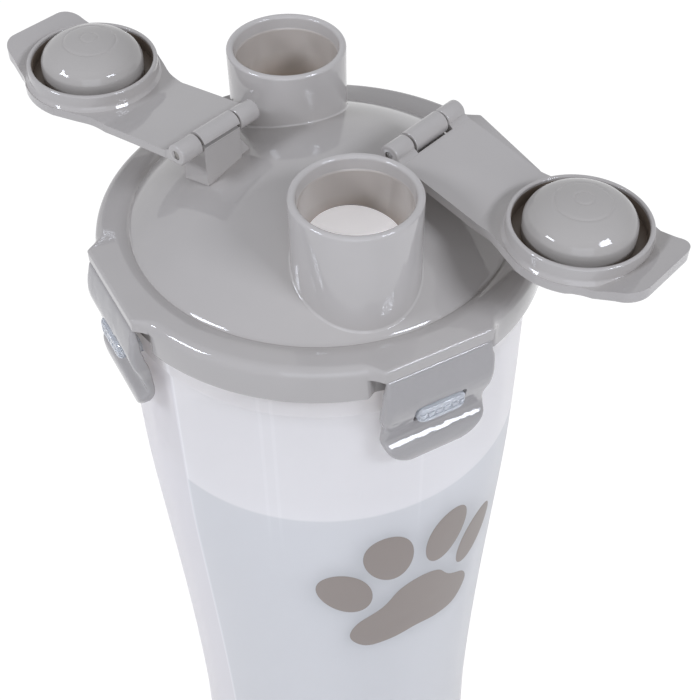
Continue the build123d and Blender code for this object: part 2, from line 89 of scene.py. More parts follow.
# ---- curves and grids ----
def spline(points, steps=8):
    """Catmull-Rom curve through points: each span blends its two ends and their neighbours by cubics."""
    p = np.asarray(points, float)
    p = np.vstack([2 * p[0] - p[1], p, 2 * p[-1] - p[-2]])
    t = np.linspace(0, 1, steps, endpoint=False)[:, None]
    p0, p1, p2, p3 = (p[k:len(p) - 3 + k, None] for k in range(4))
    spans = 0.5 * (2 * p1 + (p2 - p0) * t + (2 * p0 - 5 * p1 + 4 * p2 - p3) * t**2
                   + (3 * p1 - p0 - 3 * p2 + p3) * t**3)
    return np.vstack([spans.reshape(-1, p.shape[1]), p[-2]])


def rounded(points, radii, steps=6, closed=False):
    """Corners of a path turned into arcs: each arc touches both runs at radius / tan(half the turn)."""
    p = np.asarray(points, float)
    out = [] if closed else [p[:1]]
    numbers = range(len(p)) if closed else range(1, len(p) - 1)
    for k in numbers:
        a, b, c = p[k - 1], p[k], p[(k + 1) % len(p)]
        u, v = (a - b) / np.linalg.norm(a - b), (c - b) / np.linalg.norm(c - b)
        half = np.arccos(np.clip(u @ v, -1, 1)) / 2
        if radii[k] <= 0 or half > 1.55:
            out.append(b[None])
            continue
        centre = b + (u + v) / np.linalg.norm(u + v) * radii[k] / sin(half)
        back = radii[k] / np.tan(half)
        start, end = b + u * back - centre, b + v * back - centre
        turn = np.arccos(np.clip(start @ end / radii[k] ** 2, -1, 1))
        t = np.linspace(0, 1, steps + 1)[:, None]
        out.append(centre + (np.sin((1 - t) * turn) * start + np.sin(t * turn) * end) / np.sin(turn))
    if not closed:
        out.append(p[-1:])
    return np.vstack(out)


def grid_faces(rows, cols, wrap_rows=False, wrap_cols=False):
    """Quads between neighbouring points of a grid counted row by row."""
    r = np.arange(rows if wrap_rows else rows - 1)[:, None]
    c = np.arange(cols if wrap_cols else cols - 1)[None]
    r1, c1 = (r + 1) % rows, (c + 1) % cols
    return np.stack(np.broadcast_arrays(r * cols + c, r * cols + c1, r1 * cols + c1, r1 * cols + c),
                    -1).reshape(-1, 4)


def turned(profile, sides=128, centre=(0, 0)):
    """Profile (r, z) turned about an upright axis: x = cx + r cos a, y = cy + r sin a."""
    a = np.linspace(0, 2 * pi, sides, endpoint=False)
    r, z = profile[:, :1], profile[:, 1:]
    return np.stack(np.broadcast_arrays(centre[0] + r * np.cos(a), centre[1] + r * np.sin(a), z), -1)


def placed(points, matrix):
    """Points of a piece's own axes carried into the row frame by a 4 x 4 matrix in millimetres."""
    m = np.array(matrix)
    return points @ m[:3, :3].T + m[:3, 3]


def axes(origin, x, y, z):
    """4 x 4 matrix whose columns are a piece's own axes and origin."""
    m = np.eye(4)
    m[:3, 0], m[:3, 1], m[:3, 2], m[:3, 3] = x, y, z, origin
    return m


def piece(name, points, faces, body, material, sharp=35):
    """Mesh object from points in millimetres. Doubles are merged and closed skins face outwards."""
    mesh = bpy.data.meshes.new(name)
    pts = np.asarray(points, float).reshape(-1, 3) * MM
    mesh.from_pydata(pts.tolist(), [], faces.tolist() if hasattr(faces, "tolist") else faces)
    bm = bmesh.new()
    bm.from_mesh(mesh)
    bmesh.ops.remove_doubles(bm, verts=bm.verts, dist=2e-6)
    bmesh.ops.recalc_face_normals(bm, faces=bm.faces)
    bm.to_mesh(mesh)
    bm.free()
    mesh.polygons.foreach_set("use_smooth", [True] * len(mesh.polygons))
    mesh.set_sharp_from_angle(angle=radians(sharp))
    mesh.materials.append(material)
    ob = bpy.data.objects.new(name, mesh)
    bpy.context.scene.collection.objects.link(ob)
    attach(ob, body)
    return ob


def ring_piece(name, profile, body, material, sides=128, matrix=None, closed=True):
    """Piece turned from a profile, closed along the profile where it is a loop."""
    pts = turned(np.asarray(profile, float), sides)
    if matrix is not None:
        pts = placed(pts, matrix)
    faces = grid_faces(len(profile), sides, wrap_rows=closed, wrap_cols=True)
    return piece(name, pts, faces, body, material)


def prism(outline, low, high):
    """Closed outline (u, v) carried straight from w = low to w = high, with a flat face at both ends."""
    o = np.asarray(outline, float)
    n = len(o)
    pts = np.vstack([np.column_stack([o, np.full(n, w)]) for w in (low, high)])
    k = np.arange(n)
    walls = np.stack([k, (k + 1) % n, (k + 1) % n + n, k + n], -1).tolist()
    return pts, walls + [list(range(n))[::-1], list(range(n, 2 * n))]


def bevel(ob, width, segments=3, angle=40):
    """Rounds a piece's edges by a radius in millimetres."""
    m = ob.modifiers.new("round", "BEVEL")
    m.width, m.segments = width * MM, segments
    m.limit_method, m.angle_limit = "ANGLE", radians(angle)
    m.harden_normals = True


def cut_out(ob, cutter, sharp):
    """Takes the cutter's form out of a piece's mesh for good, and the cutter out of the scene."""
    cut = ob.modifiers.new("cut", "BOOLEAN")
    cut.operation, cut.object, cut.solver = "DIFFERENCE", cutter, "EXACT"
    deps = bpy.context.evaluated_depsgraph_get()
    mesh = bpy.data.meshes.new_from_object(ob.evaluated_get(deps))
    ob.modifiers.clear()
    ob.data = mesh
    ob.data.set_sharp_from_angle(angle=radians(sharp))
    bpy.data.objects.remove(cutter)


def second_material(ob, material, chosen):
    """Gives a second material to the faces whose middle x, y, z, in millimetres, the rule says yes to."""
    middles = np.zeros(len(ob.data.polygons) * 3)
    ob.data.polygons.foreach_get("center", middles)
    x, y, z = middles.reshape(-1, 3).T / MM
    ob.data.materials.append(material)
    ob.data.polygons.foreach_set("material_index", chosen(x, y, z).astype(int))


# ---- materials ----
def linear(hex_colour):
    """Linear RGB of an sRGB hex colour."""
    c = np.array([int(hex_colour[k:k + 2], 16) for k in (1, 3, 5)]) / 255
    return tuple(np.where(c <= 0.04045, c / 12.92, ((c + 0.055) / 1.055) ** 2.4)) + (1.0,)


def add_node(tree, kind, settings=None, links=None):
    """Adds a node, sets its inputs or properties by name, and links inputs to other nodes' outputs."""
    node = tree.nodes.new(kind)
    for key, value in (settings or {}).items():
        if isinstance(key, int) or key in node.inputs.keys():
            node.inputs[key].default_value = value
        else:
            setattr(node, key, value)
    for key, source in (links or {}).items():
        tree.links.new(source, node.inputs[key])
    return node


def new_material(name):
    """Empty node material and its output node."""
    material = bpy.data.materials.new(name)
    material.use_nodes = True
    material.node_tree.nodes.clear()
    return material, material.node_tree, material.node_tree.nodes.new("ShaderNodeOutputMaterial")


def moulded(name, colour, roughness, mottle_mm=9.0, mottle=0.03, grain_mm=0.5, grain=0.004, wave=0.03,
            deep=None, **settings):
    """Moulded plastic: an even colour with a faint flow mottle, a slight change of gloss and a skin grain.
    A long shallow wave in the skin, as deep as wave in millimetres, bends what it mirrors. With
    deep = (colour, upper height, lower height) it turns to that colour between the two heights: painted
    shade.
    A polished mould leaves a grain of about 0.1 mm. It is drawn at grain_mm, so that it shows."""
    material, tree, out = new_material(name)
    place = add_node(tree, "ShaderNodeTexCoord").outputs["Object"]
    flow = add_node(tree, "ShaderNodeTexNoise", {"Scale": 1 / (mottle_mm * MM), "Detail": 2.0},
                    {"Vector": place})
    shade = add_node(tree, "ShaderNodeMapRange", {"To Min": 1 - mottle, "To Max": 1 + mottle},
                     {"Value": flow.outputs["Fac"]})
    tint = add_node(tree, "ShaderNodeVectorMath", {"operation": "SCALE", 0: linear(colour)[:3]},
                    {"Scale": shade.outputs["Result"]})
    if deep:
        height = add_node(tree, "ShaderNodeSeparateXYZ", {}, {"Vector": place})
        fall = add_node(tree, "ShaderNodeMapRange", {"From Min": deep[1] * MM, "From Max": deep[2] * MM},
                        {"Value": height.outputs["Z"]})
        tone = add_node(tree, "ShaderNodeMixRGB", {"Color1": linear(colour), "Color2": linear(deep[0])},
                        {"Fac": fall.outputs["Result"]})
        tree.links.new(tone.outputs["Color"], tint.inputs[0])
    gloss = add_node(tree, "ShaderNodeMapRange",
                     {"To Min": roughness - 0.03, "To Max": roughness + 0.03},
                     {"Value": flow.outputs["Fac"]})
    skin = add_node(tree, "ShaderNodeTexNoise", {"Scale": 1 / (grain_mm * MM), "Detail": 1.0},
                    {"Vector": place})
    sink = add_node(tree, "ShaderNodeBump", {"Strength": 1.0, "Distance": wave * MM},
                    {"Height": flow.outputs["Fac"]})
    bump = add_node(tree, "ShaderNodeBump", {"Strength": 0.15, "Distance": grain * MM},
                    {"Height": skin.outputs["Fac"], "Normal": sink.outputs["Normal"]})
    shader = add_node(tree, "ShaderNodeBsdfPrincipled", settings,
                      {"Base Color": tint.outputs["Vector"], "Roughness": gloss.outputs["Result"],
                       "Normal": bump.outputs["Normal"]})
    tree.links.new(shader.outputs["BSDF"], out.inputs["Surface"])
    return material


def cup_marks(tree, place):
    """Masks round the cup: water behind the wall, thin wall, raised lines and the plain band at the rim.
    They come from the direction out of the axis, as its dot product with the front chamber's direction."""
    flat = add_node(tree, "ShaderNodeVectorMath", {"operation": "MULTIPLY", 1: (1, 1, 0)}, {0: place})
    unit = add_node(tree, "ShaderNodeVectorMath", {"operation": "NORMALIZE"}, {0: flat.outputs["Vector"]})
    ahead = radians(DIVIDER_ANGLE - 90)
    facing = add_node(tree, "ShaderNodeVectorMath",
                      {"operation": "DOT_PRODUCT", 1: (cos(ahead), sin(ahead), 0)},
                      {0: unit.outputs["Vector"]})
    height = add_node(tree, "ShaderNodeSeparateXYZ", {}, {"Vector": place})
    below = add_node(tree, "ShaderNodeMapRange",
                     {"From Min": (WATER_Z + 0.4) * MM, "From Max": (WATER_Z - 0.4) * MM},
                     {"Value": height.outputs["Z"]})
    past_edge = {"From Min": CHANNEL_EDGE - 0.002, "From Max": CHANNEL_EDGE + 0.002}
    front = add_node(tree, "ShaderNodeMapRange", past_edge, {"Value": facing.outputs["Value"]})
    wet = add_node(tree, "ShaderNodeMath", {"operation": "MULTIPLY"},
                   {0: below.outputs["Result"], 1: front.outputs["Result"]})
    either = add_node(tree, "ShaderNodeMath", {"operation": "ABSOLUTE"}, {0: facing.outputs["Value"]})
    thin = add_node(tree, "ShaderNodeMapRange", past_edge, {"Value": either.outputs["Value"]})
    off = add_node(tree, "ShaderNodeMath", {"operation": "SUBTRACT", 1: CHANNEL_EDGE},
                   {0: either.outputs["Value"]})
    away = add_node(tree, "ShaderNodeMath", {"operation": "ABSOLUTE"}, {0: off.outputs["Value"]})
    lines = add_node(tree, "ShaderNodeMapRange", {"From Min": 0.012, "From Max": LINE_HALF},
                     {"Value": away.outputs["Value"]})
    shown = lines.outputs["Result"]
    upper = add_node(tree, "ShaderNodeMapRange",
                     {"From Min": SEAM_FADE[0] * MM, "From Max": SEAM_FADE[1] * MM, "To Max": 0.3},
                     {"Value": height.outputs["Z"]})
    for a in np.radians(SEAM_ANGLES):
        across = add_node(tree, "ShaderNodeVectorMath",
                          {"operation": "DOT_PRODUCT", 1: (-sin(a), cos(a), 0)},
                          {0: unit.outputs["Vector"]})
        gap = add_node(tree, "ShaderNodeMath", {"operation": "ABSOLUTE"}, {0: across.outputs["Value"]})
        seam = add_node(tree, "ShaderNodeMapRange", {"From Min": 0.011, "From Max": LINE_HALF},
                        {"Value": gap.outputs["Value"], "To Max": upper.outputs["Result"]})
        shown = add_node(tree, "ShaderNodeMath", {"operation": "MAXIMUM"},
                         {0: shown, 1: seam.outputs["Result"]}).outputs["Value"]
    band = add_node(tree, "ShaderNodeMapRange",
                    {"From Min": (BAND_Z - 0.1) * MM, "From Max": (BAND_Z + 0.5) * MM},
                    {"Value": height.outputs["Z"]})
    return wet.outputs["Value"], thin.outputs["Result"], shown, band.outputs["Result"]


def frosted(name, colour, clear, through, roughness, wet_colour=None):
    """Thin milky plastic: part clear, part scattered through to the far side, part a soft gloss in front.
    With wet_colour, the wall takes that tone where water stands behind it. It is tinted beside the divider
    and at its band, and raised lines, which let less light through, run up it. The etched grain of about
    0.1 mm is drawn at 0.6 mm, so that it shows."""
    material, tree, out = new_material(name)
    place = add_node(tree, "ShaderNodeTexCoord").outputs["Object"]
    skin = add_node(tree, "ShaderNodeTexNoise", {"Scale": 1 / (0.6 * MM), "Detail": 1.0}, {"Vector": place})
    bump = add_node(tree, "ShaderNodeBump", {"Strength": 0.1, "Distance": 0.004 * MM},
                    {"Height": skin.outputs["Fac"]})
    front = add_node(tree, "ShaderNodeBsdfPrincipled",
                     {"Roughness": roughness, "IOR": 1.49, "Base Color": linear(colour)},
                     {"Normal": bump.outputs["Normal"]})
    scatter = add_node(tree, "ShaderNodeBsdfTranslucent", {"Color": linear(colour)})
    open_part = add_node(tree, "ShaderNodeBsdfTransparent", {"Color": linear("#fbfbfd")})
    # A skin met from behind is the wall's second one. The first has dimmed the light, so more passes on.
    behind = add_node(tree, "ShaderNodeNewGeometry").outputs["Backfacing"]
    scatter_share = add_node(tree, "ShaderNodeMapRange", {"To Min": through, "To Max": 0.96},
                             {"Value": behind})
    open_share = add_node(tree, "ShaderNodeMapRange", {"To Min": clear, "To Max": max(clear, 0.4)},
                          {"Value": behind})
    if wet_colour:
        wet, thin, lines, band = cup_marks(tree, place)
        wall = add_node(tree, "ShaderNodeMixRGB", {"Color1": linear("#edeae9"), "Color2": linear(colour)},
                        {"Fac": thin})
        wetted = add_node(tree, "ShaderNodeMixRGB", {"Color2": linear(wet_colour)},
                          {"Fac": wet, "Color1": wall.outputs["Color"]})
        tint = add_node(tree, "ShaderNodeMixRGB", {"Color2": linear("#f2efec")},
                        {"Fac": band, "Color1": wetted.outputs["Color"]})
        tree.links.new(tint.outputs["Color"], front.inputs["Base Color"])
        tree.links.new(tint.outputs["Color"], scatter.inputs["Color"])
        # The raised lines pass on only two fifths of the light, so they show as thin grey strokes.
        for share, value in ((scatter_share, through), (open_share, clear)):
            less = add_node(tree, "ShaderNodeMath",
                            {"operation": "MULTIPLY_ADD", 1: -0.6 * value, 2: value}, {0: lines})
            tree.links.new(less.outputs["Value"], share.inputs["To Min"])
    milky = add_node(tree, "ShaderNodeMixShader", {},
                     {0: scatter_share.outputs["Result"], 1: front.outputs[0], 2: scatter.outputs[0]})
    whole = add_node(tree, "ShaderNodeMixShader", {},
                     {0: open_share.outputs["Result"], 1: milky.outputs[0], 2: open_part.outputs[0]})
    tree.links.new(whole.outputs[0], out.inputs["Surface"])
    return material


# Polished mould: crisp mirrored lamps on an even warm grey, a little wavy where the plastic has sunk.
LID_PP = moulded("polypropylene_moulded_warm_grey", "#b0aba6", 0.05, IOR=1.49)
# The same plastic on the thin spout tubes, painted a shade paler: painted light on their upright walls.
SPOUT_PP_PAINTED_LIGHT = moulded("polypropylene_moulded_tube_painted_lighter", "#b9b4af", 0.05, IOR=1.49)
# Moulded on a duller core: softer gloss, and a painted brown shade deep down, where light comes only by
# bounces.
BORE_PP_PAINTED_SHADE = moulded("polypropylene_moulded_bore_painted_shade", "#b4aca4", 0.12,
                  deep=("#8d7a66", SPOUT_TOP_Z - 9, SPOUT_TOP_Z - 19), IOR=1.49)
# Thick ribs behind a polished face: deeper sink waves, which break up the white line on the lip.
TAB_PP = moulded("polypropylene_moulded_tab_grey", "#a29e9b", 0.05, mottle_mm=5.0, wave=0.3, IOR=1.49)
# Soft rubber from a polished mould: small sharp lamps over a plain grey, with a lower mirror than plastic.
PLUG_SILICONE = moulded("silicone_moulded_grey", "#aba6a0", 0.05, IOR=1.42)
# A thin matt brown ring at the plug's foot and up the collar's inner wall: painted shade in the gap.
GAP_SHADE_SILICONE = moulded("silicone_foot_painted_gap_shade", "#74675b", 0.4, IOR=1.42)
# Etched mould: a milky skin that blurs what is behind and glows at its edges.
CUP_PP = frosted("polypropylene_frosted_clear", "#f8f6f4", 0.12, 0.43, 0.3, "#e4e4e3")
# The wall's inner face, mostly clear, so that the two skins read as one milky wall.
CUP_INNER_PP = frosted("polypropylene_frosted_inner_skin", "#fffdf8", 0.85, 0.5, 0.3)
# Natural plastic, a plain off-white, with a painted glow that stands in for light the milky cup scatters
# onto it.
DIVIDER_PP_PAINTED_GLOW = moulded("polypropylene_natural_panel_painted_glow", "#fdfbf8", 0.35, mottle=0.006, IOR=1.49,
                     **{"Emission Color": linear("#f4f2f6"), "Emission Strength": 0.2})
# Clear plastic, polished: its facets catch white sparks and bluish greys.
CLEAR_PP = moulded("polypropylene_clear_catch", "#f3f6fa", 0.04, mottle=0.0, IOR=1.49,
                   **{"Transmission Weight": 0.55})
# Milky rubber with a dull, even skin.
SEAL_SILICONE = moulded("silicone_milky_seal", "#e9e6ec", 0.4, IOR=1.42)
# Still water seen through milky plastic: a pale cool grey with a smooth top.
WATER = moulded("water_still", "#dddcdc", 0.08, mottle=0.0, IOR=1.33)
# Screen-printed ink: flat taupe, duller than the wall, with a slight unevenness of cover.
PAW_INK = moulded("printed_ink_taupe", "#8f847c", 0.42, mottle=0.02, IOR=1.45)
# Drawn wire: a grey metal with a soft shine and no sharp mirror.
PIN_STEEL = moulded("steel_drawn_pin", "#8b8886", 0.35, mottle=0.02, Metallic=1.0)


# ---- cup ----
CUP_PROFILE = [(43.1, 5.5), (42.7, 24.0), (42.55, 40.0), (43.05, 70.0), (44.1, 100.0), (45.5, 130.0),
               (46.65, 155.0), (46.95, 175.0), (46.9, 207.6)]


def cup_radius(z):
    """Outer radius of the cup's side at a height, read along the profile's smooth curve."""
    curve = spline(CUP_PROFILE, 12)
    return np.interp(z, curve[:, 1], curve[:, 0])


def make_cup():
    """Cup turned from one closed loop: foot, waisted side, band, rim, and back down inside to the floor."""
    side = spline(CUP_PROFILE, 10)
    inside = side[::-1] - (CUP_WALL, 0)
    inside = inside[(inside[:, 1] > 12) & (inside[:, 1] < 203)]
    foot = rounded([(0, 1.5), (31, 1.5), (32.5, 0), (39.2, 0), tuple(side[0])], [0, 0.8, 0.5, 3.0, 0], 5)
    neck = rounded([tuple(side[-1]), (BAND_R, BAND_Z), (BAND_R, RIM_Z), (44.9, RIM_Z), (44.9, 209.5),
                    tuple(inside[0])], [0, 0.4, 0.7, 0.7, 1.5, 0], 4)
    floor = rounded([tuple(inside[-1]), (inside[-1][0], CUP_FLOOR_Z), (0, CUP_FLOOR_Z)], [0, 5.0, 0], 6)
    loop = np.vstack([foot, side[1:-1], neck, inside[1:-1], floor])
    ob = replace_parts(ring_piece("cup", loop, "bottle", CUP_PP, 192, closed=False),
                     "cup_body")
    second_material(ob, CUP_INNER_PP,
                    lambda x, y, z: (np.hypot(x, y) < cup_radius(z) - CUP_WALL / 2)
                    & (z > CUP_FLOOR_Z - 0.1) & (z < 209))


def tab_axes(angle):
    """Axes at a lock tab, for points (out, along, up): X out of the cup, Y round it, Z up."""
    c, s = cos(radians(angle)), sin(radians(angle))
    return axes((0, 0, 0), (c, s, 0), (-s, c, 0), (0, 0, 1))


def make_catches():
    """Clear catch under each tab: rings shrink from a rounded outline to its middle. The face stands out
    by steps: two grooves run along it, short notches cross it, and it falls away at the outline."""
    low, high, half = 207.6, 211.8, 5.7
    root_r, face_r = 46.2, 52.45
    middle = (low + high) / 2
    outline = rounded([(-half, low), (half, low), (half, high), (-half, high)], [1.5] * 4, 8, closed=True)
    outline = np.vstack([np.linspace(p, q, 8, endpoint=False)
                         for p, q in zip(outline, np.roll(outline, -1, 0))])
    shares = np.append(np.linspace(1, 0.02, 40), 0)[:, None]
    u = outline[:, 0] * shares
    z = middle + (outline[:, 1] - middle) * shares
    lane = (z - low) / (high - low) * 3
    groove = np.abs(lane - np.round(lane)) < 0.13
    notch = np.abs(u / 1.9 - np.round(u / 1.9)) < 0.16
    edge = np.clip((shares - 0.8) / 0.2, 0, 1) ** 2
    out = face_r - 0.45 * groove * (shares < 0.93) - 0.3 * notch * (np.abs(lane - 1.5) < 0.5) - 0.7 * edge
    out = np.vstack([np.full((1, u.shape[1]), root_r), out])
    flat = np.stack([out, np.vstack([u[:1], u]), np.vstack([z[:1], z])], -1)
    for number, angle in enumerate(TAB_ANGLES, 1):
        pts = placed(flat, tab_axes(angle))
        back = pts[:1].mean(1, keepdims=True).repeat(pts.shape[1], 1)
        pts = np.concatenate([back, pts])
        piece(f"catch_{number}", pts, grid_faces(*pts.shape[:2], wrap_cols=True), "bottle", CLEAR_PP,
              sharp=15)


# ---- paw print ----
PAW_ANGLE = TAB_ANGLES[0]
PAW_R = 45.5                       # the cup's radius behind the print
PAW_SCALE = radians(PAW_R)         # millimetres round the cup to a degree
TOES = [(-23.6, 141.5, 6.3, 9.4, 25), (-9.9, 154.1, 6.2, 9.6, 12), (10.5, 153.2, 6.2, 9.6, -12),
        (25.3, 141.4, 6.2, 9.4, -25)]      # (degrees from the tab, height, half width, half height, lean)


def paw_patch(name, outline):
    """Thin printed patch: the outline's rings shrink to its middle and are wrapped on the cup."""
    middle = outline.mean(0)
    shares = np.array([1.0, 0.93, 0.75, 0.5, 0.25, 0.0])
    lift = np.array([0.0, 0.05, 0.06, 0.06, 0.06, 0.06])
    flat = middle + shares[:, None, None] * (outline - middle)
    angle = radians(PAW_ANGLE) + flat[..., 0] / PAW_R
    z = flat[..., 1]
    r = cup_radius(z) + lift[:, None] + 0.01
    pts = np.stack([r * np.cos(angle), r * np.sin(angle), z], -1)
    return piece(name, pts, grid_faces(*flat.shape[:2], wrap_cols=True), "bottle", PAW_INK)


def make_paw():
    """Four leaning oval toes over a three-lobed pad, each a smooth closed curve."""
    t = np.linspace(0, 2 * pi, 64, endpoint=False)
    for number, (degrees_off, z, half_w, half_h, lean) in enumerate(TOES, 1):
        u, v = half_w * np.cos(t), half_h * np.sin(t) * (1 - 0.1 * np.sin(t))
        turn = radians(lean)
        outline = np.column_stack([degrees_off * PAW_SCALE + u * cos(turn) - v * sin(turn),
                                   z + u * sin(turn) + v * cos(turn)])
        paw_patch(f"paw_toe_{number}", outline)
    pad = [(0, 13.6), (5.5, 11.6), (9.8, 5.4), (16.2, -0.6), (18.2, -6.8), (14.2, -12.2), (7.2, -12.2),
           (0, -11.0), (-7.2, -12.4), (-14.4, -12.6), (-18.6, -7.2), (-16.6, -0.4), (-10.0, 5.4),
           (-5.5, 11.6)]
    loop = spline(pad + pad[:3], 6)[6:6 * (len(pad) + 1)]
    paw_patch("paw_pad", loop + (1.6 * PAW_SCALE, 126.0))


# ---- water ----
def make_water():
    """Water in the front chamber: half discs stacked up the inside of the cup to the water line. Each is
    cut off at the divider, where the arc's half angle is the arc cosine of gap / radius."""
    turn = radians(DIVIDER_ANGLE - 90)
    z = np.array([CUP_FLOOR_Z + 0.3, 5.0, 8.0, 24, 40, 70, 100, 130, 155, WATER_Z - 0.6, WATER_Z])
    r = cup_radius(np.clip(z, 12, None)) - CUP_WALL - 0.25 - np.array([4.5, 3, 0] + [0] * 8)
    gap = 1.2
    edge = np.arccos(gap / r)[:, None] * np.linspace(-1, 1, 65)
    x, y = r[:, None] * np.cos(edge), r[:, None] * np.sin(edge)
    ring = np.stack([x * cos(turn) - y * sin(turn), x * sin(turn) + y * cos(turn),
                     np.broadcast_to(z[:, None], x.shape)], -1)
    low, high = (ring[k:k + 1].mean(1, keepdims=True).repeat(65, 1) for k in (0, len(z) - 1))
    pts = np.concatenate([low, ring, high])
    piece("water_front", pts, grid_faces(*pts.shape[:2], wrap_cols=True), "bottle", WATER)


# ---- lid ----
def dome_z(x, y):
    """Height of the dome's outer skin: a sphere cap over the lid's axis."""
    return DOME_CENTRE_Z + np.sqrt(DOME_R**2 - x**2 - y**2)


def bore_cutter(centre):
    """Tool that opens the dome under a spout: its radius widens through the wall, row by row below the
    dome's skin, to a cone that faces along the dome's slope."""
    a = np.linspace(0, 2 * pi, 96, endpoint=False)
    radius = np.array([0.0, 15.2, 14.4, 12.4, 12.4, 0.0])[:, None]
    below = np.array([12.0, 12.0, 2.4, 0.3, -4.0, -4.0])[:, None]
    at = np.maximum(radius, 1e-6)
    x, y = centre[0] + at * np.cos(a), centre[1] + at * np.sin(a)
    flat_x, flat_y = centre[0] + radius * np.cos(a), centre[1] + radius * np.sin(a)
    pts = np.stack([x, y, dome_z(flat_x, flat_y) - below], -1)
    return piece("bore_cutter", pts, grid_faces(*pts.shape[:2], wrap_cols=True), "bottle", LID_PP)


def make_lid():
    """Dome, flange and skirt as one skin. The edge runs from the round profile to the straight shelf
    profile over each tab by a weight that rises across the flare, and the skirt steps back behind the tab
    by a smooth step of the angle from the tab's middle."""
    a = np.linspace(0, 2 * pi, 720, endpoint=False)
    off = (a - radians(TAB_ANGLES[0]) + pi / 4) % (pi / 2) - pi / 4
    corner, blend_end = radians(13.9), radians(19.5)
    t = np.clip((np.abs(off) - corner) / (blend_end - corner), 0, 1)
    weight = (1 - t) ** 2 * (1 + 2 * t)
    swell = np.where(t <= 0, 1 / np.cos(off), 1 + (1 / cos(corner) - 1) * (1 - t) ** 2.2)
    flange_round = 2.2
    shelf_r, stepped_r = 50.4, 48.3
    top_in = [(DOME_BASE_R + 1.2, FLANGE_Z), (45.5, FLANGE_Z)]
    round_edge = rounded([(45.6, FLANGE_Z), (SKIRT_R, FLANGE_Z), (SKIRT_R, 221.9)],
                         [0, flange_round, 0], 8)
    shelf_edge = rounded([(45.6, FLANGE_Z), (shelf_r, FLANGE_Z), (shelf_r, 221.95)], [0, 0.75, 0], 8)
    round_low = rounded([(SKIRT_R, 221.7), (SKIRT_R, SKIRT_BOTTOM_Z), (SKIRT_INNER_R, SKIRT_BOTTOM_Z)],
                        [0, 0.5, 0], 4)
    shelf_low = rounded([(stepped_r, 221.9), (stepped_r, SKIRT_BOTTOM_Z),
                         (SKIRT_INNER_R, SKIRT_BOTTOM_Z)], [0, 0.3, 0], 4)
    hollow = np.clip((radians(17.6) - np.abs(off)) / radians(2.4), 0, 1)
    hollow = hollow**2 * (3 - 2 * hollow)
    brim = asin(DOME_BASE_R / DOME_R)
    arc = np.append(np.linspace(0, brim - 0.008, 40), [brim - 0.003, brim - 0.001, brim])
    dome = np.column_stack([DOME_R * np.sin(arc), DOME_CENTRE_Z + DOME_R * np.cos(arc)])
    groove = np.array([(DOME_BASE_R + 0.25, FLANGE_Z - 0.35), (DOME_BASE_R + 0.5, FLANGE_Z - 0.45),
                       (DOME_BASE_R + 0.8, FLANGE_Z - 0.3)])
    plain = np.vstack([dome, groove, top_in])
    under_r = DOME_R - DOME_WALL
    under_arc = np.linspace(np.arccos((SEAT_Z - DOME_CENTRE_Z) / under_r), 0, 14)
    under = np.column_stack([under_r * np.sin(under_arc), DOME_CENTRE_Z + under_r * np.cos(under_arc)])
    inner = np.vstack([[(SKIRT_INNER_R, SEAT_Z)], under])

    def rows(profile, scale):
        r = profile[:, :1] * scale
        return np.stack(np.broadcast_arrays(r * np.cos(a), r * np.sin(a), profile[:, 1:]), -1)

    ones = np.ones_like(a)
    weight, hollow = weight[None, :, None], hollow[None, :, None]
    edge = rows(round_edge, ones) * (1 - weight) + rows(shelf_edge, swell) * weight
    low = rows(round_low, ones) * (1 - hollow) + rows(shelf_low, ones) * hollow
    low[-1] = rows(np.array([(SKIRT_INNER_R, SKIRT_BOTTOM_Z)]), ones)[0]
    pts = np.concatenate([rows(plain, ones), edge, low, rows(inner, ones)])
    ob = piece("lid_shell", pts, grid_faces(*pts.shape[:2], wrap_cols=True), "bottle", LID_PP)
    for sign in (1, -1):
        cut_out(ob, bore_cutter((sign * SPOUT_XY[0], sign * SPOUT_XY[1])), 38)
    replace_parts(ob, "lid")


def make_partition():
    """Rib under the dome, over the divider, pale in front with a painted glow: its upper edge follows the
    dome's inner skin.
    """
    along = np.linspace(-40.5, 40.5, 61)
    inner = DOME_CENTRE_Z + np.sqrt((DOME_R - DOME_WALL + 0.3)**2 - along**2)
    bottom = np.full_like(along, RIM_Z - 3.0)
    outline = np.concatenate([np.column_stack([along, inner]), np.column_stack([along, bottom])[::-1]])
    c, s = cos(radians(DIVIDER_ANGLE)), sin(radians(DIVIDER_ANGLE))
    m = axes((0, 0, 0), (c, s, 0), (0, 0, 1), (s, -c, 0))
    for name, low, high, material in (("front", 0, 2.7, DIVIDER_PP_PAINTED_GLOW), ("back", -2.7, 0, LID_PP)):
        pts, faces = prism(outline, low, high)
        piece(f"lid_partition_{name}", placed(pts, m), faces, "bottle", material)


